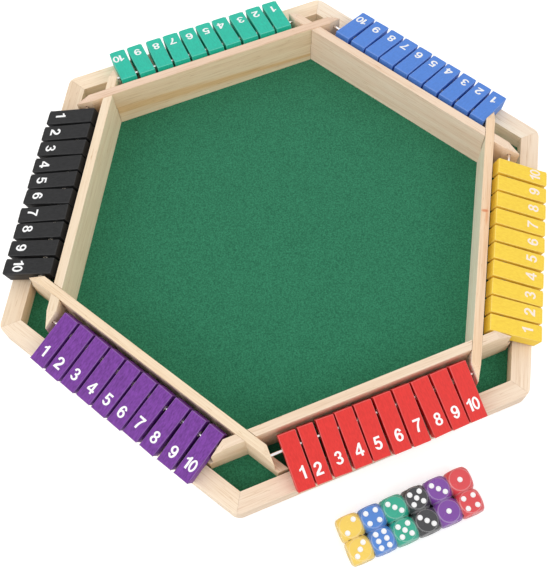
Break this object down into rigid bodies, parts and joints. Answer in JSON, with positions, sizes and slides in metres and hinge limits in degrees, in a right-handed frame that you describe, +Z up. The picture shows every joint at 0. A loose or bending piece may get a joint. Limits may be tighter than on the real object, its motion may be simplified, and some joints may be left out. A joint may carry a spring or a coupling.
{
  "type": "shut the box game",
  "caption": "Hexagonal shut the box dice game: felted tray with low mitred frame, lapped wall boards and rows of hinged number tiles on steel rods, with loose dice beside it.",
  "frame": {"origin": "centre of the underside of the base board, on the surface that the game stands on", "axes": "+Z up; -Y is the side with the red row and the dice; rows of tiles face 30, 90, 150, 210, 270 and 330 degrees from +X; the frame's corners point along 0, 60, 120, 180, 240 and 300 degrees"},
  "size_m": [0.432, 0.4395, 0.0392],
  "materials": {
    "pine": "satin",
    "felt": "matte",
    "steel": "satin",
    "dice": "gloss",
    "purple_paint": "satin",
    "black_paint": "satin",
    "green_paint": "satin",
    "blue_paint": "satin",
    "yellow_paint": "satin",
    "red_paint": "satin"
  },
  "bodies": {
    "box": {"base_board": "pine", "felt": "felt", "frame_rails": "pine", "wall_boards": "pine", "rods": "steel"},
    "dice": {"dice": "dice"},
    "tile_purple_1": {"tile_purple_1": "purple_paint"},
    "tile_purple_2": {"tile_purple_2": "purple_paint"},
    "tile_purple_3": {"tile_purple_3": "purple_paint"},
    "tile_purple_4": {"tile_purple_4": "purple_paint"},
    "tile_purple_5": {"tile_purple_5": "purple_paint"},
    "tile_purple_6": {"tile_purple_6": "purple_paint"},
    "tile_purple_7": {"tile_purple_7": "purple_paint"},
    "tile_purple_8": {"tile_purple_8": "purple_paint"},
    "tiles_purple_9_10": {"tiles_purple_9_10": "purple_paint"},
    "tile_black_1": {"tile_black_1": "black_paint"},
    "tile_black_2": {"tile_black_2": "black_paint"},
    "tile_black_3": {"tile_black_3": "black_paint"},
    "tile_black_4": {"tile_black_4": "black_paint"},
    "tile_black_5": {"tile_black_5": "black_paint"},
    "tile_black_6": {"tile_black_6": "black_paint"},
    "tile_black_7": {"tile_black_7": "black_paint"},
    "tile_black_8": {"tile_black_8": "black_paint"},
    "tiles_black_9_10": {"tiles_black_9_10": "black_paint"},
    "tile_green_1": {"tile_green_1": "green_paint"},
    "tile_green_2": {"tile_green_2": "green_paint"},
    "tile_green_3": {"tile_green_3": "green_paint"},
    "tile_green_4": {"tile_green_4": "green_paint"},
    "tile_green_5": {"tile_green_5": "green_paint"},
    "tile_green_6": {"tile_green_6": "green_paint"},
    "tile_green_7": {"tile_green_7": "green_paint"},
    "tile_green_8": {"tile_green_8": "green_paint"},
    "tiles_green_9_10": {"tiles_green_9_10": "green_paint"},
    "tile_blue_1": {"tile_blue_1": "blue_paint"},
    "tile_blue_2": {"tile_blue_2": "blue_paint"},
    "tile_blue_3": {"tile_blue_3": "blue_paint"},
    "tile_blue_4": {"tile_blue_4": "blue_paint"},
    "tile_blue_5": {"tile_blue_5": "blue_paint"},
    "tile_blue_6": {"tile_blue_6": "blue_paint"},
    "tile_blue_7": {"tile_blue_7": "blue_paint"},
    "tile_blue_8": {"tile_blue_8": "blue_paint"},
    "tiles_blue_9_10": {"tiles_blue_9_10": "blue_paint"},
    "tile_yellow_1": {"tile_yellow_1": "yellow_paint"},
    "tile_yellow_2": {"tile_yellow_2": "yellow_paint"},
    "tile_yellow_3": {"tile_yellow_3": "yellow_paint"},
    "tile_yellow_4": {"tile_yellow_4": "yellow_paint"},
    "tile_yellow_5": {"tile_yellow_5": "yellow_paint"},
    "tile_yellow_6": {"tile_yellow_6": "yellow_paint"},
    "tile_yellow_7": {"tile_yellow_7": "yellow_paint"},
    "tile_yellow_8": {"tile_yellow_8": "yellow_paint"},
    "tiles_yellow_9_10": {"tiles_yellow_9_10": "yellow_paint"},
    "tile_red_1": {"tile_red_1": "red_paint"},
    "tile_red_2": {"tile_red_2": "red_paint"},
    "tile_red_3": {"tile_red_3": "red_paint"},
    "tile_red_4": {"tile_red_4": "red_paint"},
    "tile_red_5": {"tile_red_5": "red_paint"},
    "tile_red_6": {"tile_red_6": "red_paint"},
    "tile_red_7": {"tile_red_7": "red_paint"},
    "tile_red_8": {"tile_red_8": "red_paint"},
    "tiles_red_9_10": {"tiles_red_9_10": "red_paint"}
  },
  "joints": [
    {"name": "flip_purple_1", "type": "hinge", "parent": "box", "child": "tile_purple_1", "pos_m": [-0.14094, -0.08137, 0.0305], "axis": [-0.5, 0.866, 0], "range_deg": [0, 146.6]},
    {"name": "flip_purple_2", "type": "hinge", "parent": "box", "child": "tile_purple_2", "pos_m": [-0.14094, -0.08137, 0.0305], "axis": [-0.5, 0.866, 0], "range_deg": [0, 146.6]},
    {"name": "flip_purple_3", "type": "hinge", "parent": "box", "child": "tile_purple_3", "pos_m": [-0.14094, -0.08137, 0.0305], "axis": [-0.5, 0.866, 0], "range_deg": [0, 146.6]},
    {"name": "flip_purple_4", "type": "hinge", "parent": "box", "child": "tile_purple_4", "pos_m": [-0.14094, -0.08137, 0.0305], "axis": [-0.5, 0.866, 0], "range_deg": [0, 146.6]},
    {"name": "flip_purple_5", "type": "hinge", "parent": "box", "child": "tile_purple_5", "pos_m": [-0.14094, -0.08137, 0.0305], "axis": [-0.5, 0.866, 0], "range_deg": [0, 146.6]},
    {"name": "flip_purple_6", "type": "hinge", "parent": "box", "child": "tile_purple_6", "pos_m": [-0.14094, -0.08137, 0.0305], "axis": [-0.5, 0.866, 0], "range_deg": [0, 146.6]},
    {"name": "flip_purple_7", "type": "hinge", "parent": "box", "child": "tile_purple_7", "pos_m": [-0.14094, -0.08137, 0.0305], "axis": [-0.5, 0.866, 0], "range_deg": [0, 146.6]},
    {"name": "flip_purple_8", "type": "hinge", "parent": "box", "child": "tile_purple_8", "pos_m": [-0.14094, -0.08137, 0.0305], "axis": [-0.5, 0.866, 0], "range_deg": [0, 146.6]},
    {"name": "flip_purple_9_10", "type": "hinge", "parent": "box", "child": "tiles_purple_9_10", "pos_m": [-0.14094, -0.08137, 0.0305], "axis": [-0.5, 0.866, 0], "range_deg": [0, 146.6]},
    {"name": "flip_black_1", "type": "hinge", "parent": "box", "child": "tile_black_1", "pos_m": [-0.14094, 0.08137, 0.0305], "axis": [0.5, 0.866, 0], "range_deg": [0, 146.6]},
    {"name": "flip_black_2", "type": "hinge", "parent": "box", "child": "tile_black_2", "pos_m": [-0.14094, 0.08137, 0.0305], "axis": [0.5, 0.866, 0], "range_deg": [0, 146.6]},
    {"name": "flip_black_3", "type": "hinge", "parent": "box", "child": "tile_black_3", "pos_m": [-0.14094, 0.08137, 0.0305], "axis": [0.5, 0.866, 0], "range_deg": [0, 146.6]},
    {"name": "flip_black_4", "type": "hinge", "parent": "box", "child": "tile_black_4", "pos_m": [-0.14094, 0.08137, 0.0305], "axis": [0.5, 0.866, 0], "range_deg": [0, 146.6]},
    {"name": "flip_black_5", "type": "hinge", "parent": "box", "child": "tile_black_5", "pos_m": [-0.14094, 0.08137, 0.0305], "axis": [0.5, 0.866, 0], "range_deg": [0, 146.6]},
    {"name": "flip_black_6", "type": "hinge", "parent": "box", "child": "tile_black_6", "pos_m": [-0.14094, 0.08137, 0.0305], "axis": [0.5, 0.866, 0], "range_deg": [0, 146.6]},
    {"name": "flip_black_7", "type": "hinge", "parent": "box", "child": "tile_black_7", "pos_m": [-0.14094, 0.08137, 0.0305], "axis": [0.5, 0.866, 0], "range_deg": [0, 146.6]},
    {"name": "flip_black_8", "type": "hinge", "parent": "box", "child": "tile_black_8", "pos_m": [-0.14094, 0.08137, 0.0305], "axis": [0.5, 0.866, 0], "range_deg": [0, 146.6]},
    {"name": "flip_black_9_10", "type": "hinge", "parent": "box", "child": "tiles_black_9_10", "pos_m": [-0.14094, 0.08137, 0.0305], "axis": [0.5, 0.866, 0], "range_deg": [0, 146.6]},
    {"name": "flip_green_1", "type": "hinge", "parent": "box", "child": "tile_green_1", "pos_m": [0, 0.16275, 0.0305], "axis": [1, 0, 0], "range_deg": [0, 146.6]},
    {"name": "flip_green_2", "type": "hinge", "parent": "box", "child": "tile_green_2", "pos_m": [0, 0.16275, 0.0305], "axis": [1, 0, 0], "range_deg": [0, 146.6]},
    {"name": "flip_green_3", "type": "hinge", "parent": "box", "child": "tile_green_3", "pos_m": [0, 0.16275, 0.0305], "axis": [1, 0, 0], "range_deg": [0, 146.6]},
    {"name": "flip_green_4", "type": "hinge", "parent": "box", "child": "tile_green_4", "pos_m": [0, 0.16275, 0.0305], "axis": [1, 0, 0], "range_deg": [0, 146.6]},
    {"name": "flip_green_5", "type": "hinge", "parent": "box", "child": "tile_green_5", "pos_m": [0, 0.16275, 0.0305], "axis": [1, 0, 0], "range_deg": [0, 146.6]},
    {"name": "flip_green_6", "type": "hinge", "parent": "box", "child": "tile_green_6", "pos_m": [0, 0.16275, 0.0305], "axis": [1, 0, 0], "range_deg": [0, 146.6]},
    {"name": "flip_green_7", "type": "hinge", "parent": "box", "child": "tile_green_7", "pos_m": [0, 0.16275, 0.0305], "axis": [1, 0, 0], "range_deg": [0, 146.6]},
    {"name": "flip_green_8", "type": "hinge", "parent": "box", "child": "tile_green_8", "pos_m": [0, 0.16275, 0.0305], "axis": [1, 0, 0], "range_deg": [0, 146.6]},
    {"name": "flip_green_9_10", "type": "hinge", "parent": "box", "child": "tiles_green_9_10", "pos_m": [0, 0.16275, 0.0305], "axis": [1, 0, 0], "range_deg": [0, 146.6]},
    {"name": "flip_blue_1", "type": "hinge", "parent": "box", "child": "tile_blue_1", "pos_m": [0.14094, 0.08137, 0.0305], "axis": [0.5, -0.866, 0], "range_deg": [0, 146.6]},
    {"name": "flip_blue_2", "type": "hinge", "parent": "box", "child": "tile_blue_2", "pos_m": [0.14094, 0.08137, 0.0305], "axis": [0.5, -0.866, 0], "range_deg": [0, 146.6]},
    {"name": "flip_blue_3", "type": "hinge", "parent": "box", "child": "tile_blue_3", "pos_m": [0.14094, 0.08137, 0.0305], "axis": [0.5, -0.866, 0], "range_deg": [0, 146.6]},
    {"name": "flip_blue_4", "type": "hinge", "parent": "box", "child": "tile_blue_4", "pos_m": [0.14094, 0.08137, 0.0305], "axis": [0.5, -0.866, 0], "range_deg": [0, 146.6]},
    {"name": "flip_blue_5", "type": "hinge", "parent": "box", "child": "tile_blue_5", "pos_m": [0.14094, 0.08137, 0.0305], "axis": [0.5, -0.866, 0], "range_deg": [0, 146.6]},
    {"name": "flip_blue_6", "type": "hinge", "parent": "box", "child": "tile_blue_6", "pos_m": [0.14094, 0.08137, 0.0305], "axis": [0.5, -0.866, 0], "range_deg": [0, 146.6]},
    {"name": "flip_blue_7", "type": "hinge", "parent": "box", "child": "tile_blue_7", "pos_m": [0.14094, 0.08137, 0.0305], "axis": [0.5, -0.866, 0], "range_deg": [0, 146.6]},
    {"name": "flip_blue_8", "type": "hinge", "parent": "box", "child": "tile_blue_8", "pos_m": [0.14094, 0.08137, 0.0305], "axis": [0.5, -0.866, 0], "range_deg": [0, 146.6]},
    {"name": "flip_blue_9_10", "type": "hinge", "parent": "box", "child": "tiles_blue_9_10", "pos_m": [0.14094, 0.08137, 0.0305], "axis": [0.5, -0.866, 0], "range_deg": [0, 146.6]},
    {"name": "flip_yellow_1", "type": "hinge", "parent": "box", "child": "tile_yellow_1", "pos_m": [0.14094, -0.08137, 0.0305], "axis": [-0.5, -0.866, 0], "range_deg": [0, 146.6]},
    {"name": "flip_yellow_2", "type": "hinge", "parent": "box", "child": "tile_yellow_2", "pos_m": [0.14094, -0.08137, 0.0305], "axis": [-0.5, -0.866, 0], "range_deg": [0, 146.6]},
    {"name": "flip_yellow_3", "type": "hinge", "parent": "box", "child": "tile_yellow_3", "pos_m": [0.14094, -0.08137, 0.0305], "axis": [-0.5, -0.866, 0], "range_deg": [0, 146.6]},
    {"name": "flip_yellow_4", "type": "hinge", "parent": "box", "child": "tile_yellow_4", "pos_m": [0.14094, -0.08137, 0.0305], "axis": [-0.5, -0.866, 0], "range_deg": [0, 146.6]},
    {"name": "flip_yellow_5", "type": "hinge", "parent": "box", "child": "tile_yellow_5", "pos_m": [0.14094, -0.08137, 0.0305], "axis": [-0.5, -0.866, 0], "range_deg": [0, 146.6]},
    {"name": "flip_yellow_6", "type": "hinge", "parent": "box", "child": "tile_yellow_6", "pos_m": [0.14094, -0.08137, 0.0305], "axis": [-0.5, -0.866, 0], "range_deg": [0, 146.6]},
    {"name": "flip_yellow_7", "type": "hinge", "parent": "box", "child": "tile_yellow_7", "pos_m": [0.14094, -0.08137, 0.0305], "axis": [-0.5, -0.866, 0], "range_deg": [0, 146.6]},
    {"name": "flip_yellow_8", "type": "hinge", "parent": "box", "child": "tile_yellow_8", "pos_m": [0.14094, -0.08137, 0.0305], "axis": [-0.5, -0.866, 0], "range_deg": [0, 146.6]},
    {"name": "flip_yellow_9_10", "type": "hinge", "parent": "box", "child": "tiles_yellow_9_10", "pos_m": [0.14094, -0.08137, 0.0305], "axis": [-0.5, -0.866, 0], "range_deg": [0, 146.6]},
    {"name": "flip_red_1", "type": "hinge", "parent": "box", "child": "tile_red_1", "pos_m": [0, -0.16275, 0.0305], "axis": [-1, 0, 0], "range_deg": [0, 146.6]},
    {"name": "flip_red_2", "type": "hinge", "parent": "box", "child": "tile_red_2", "pos_m": [0, -0.16275, 0.0305], "axis": [-1, 0, 0], "range_deg": [0, 146.6]},
    {"name": "flip_red_3", "type": "hinge", "parent": "box", "child": "tile_red_3", "pos_m": [0, -0.16275, 0.0305], "axis": [-1, 0, 0], "range_deg": [0, 146.6]},
    {"name": "flip_red_4", "type": "hinge", "parent": "box", "child": "tile_red_4", "pos_m": [0, -0.16275, 0.0305], "axis": [-1, 0, 0], "range_deg": [0, 146.6]},
    {"name": "flip_red_5", "type": "hinge", "parent": "box", "child": "tile_red_5", "pos_m": [0, -0.16275, 0.0305], "axis": [-1, 0, 0], "range_deg": [0, 146.6]},
    {"name": "flip_red_6", "type": "hinge", "parent": "box", "child": "tile_red_6", "pos_m": [0, -0.16275, 0.0305], "axis": [-1, 0, 0], "range_deg": [0, 146.6]},
    {"name": "flip_red_7", "type": "hinge", "parent": "box", "child": "tile_red_7", "pos_m": [0, -0.16275, 0.0305], "axis": [-1, 0, 0], "range_deg": [0, 146.6]},
    {"name": "flip_red_8", "type": "hinge", "parent": "box", "child": "tile_red_8", "pos_m": [0, -0.16275, 0.0305], "axis": [-1, 0, 0], "range_deg": [0, 146.6]},
    {"name": "flip_red_9_10", "type": "hinge", "parent": "box", "child": "tiles_red_9_10", "pos_m": [0, -0.16275, 0.0305], "axis": [-1, 0, 0], "range_deg": [0, 146.6]},
    {"name": "dice_lift", "type": "slide", "parent": "box", "child": "dice", "axis": [0, 0, 1], "range_m": [0, 0.06]}
  ]
}
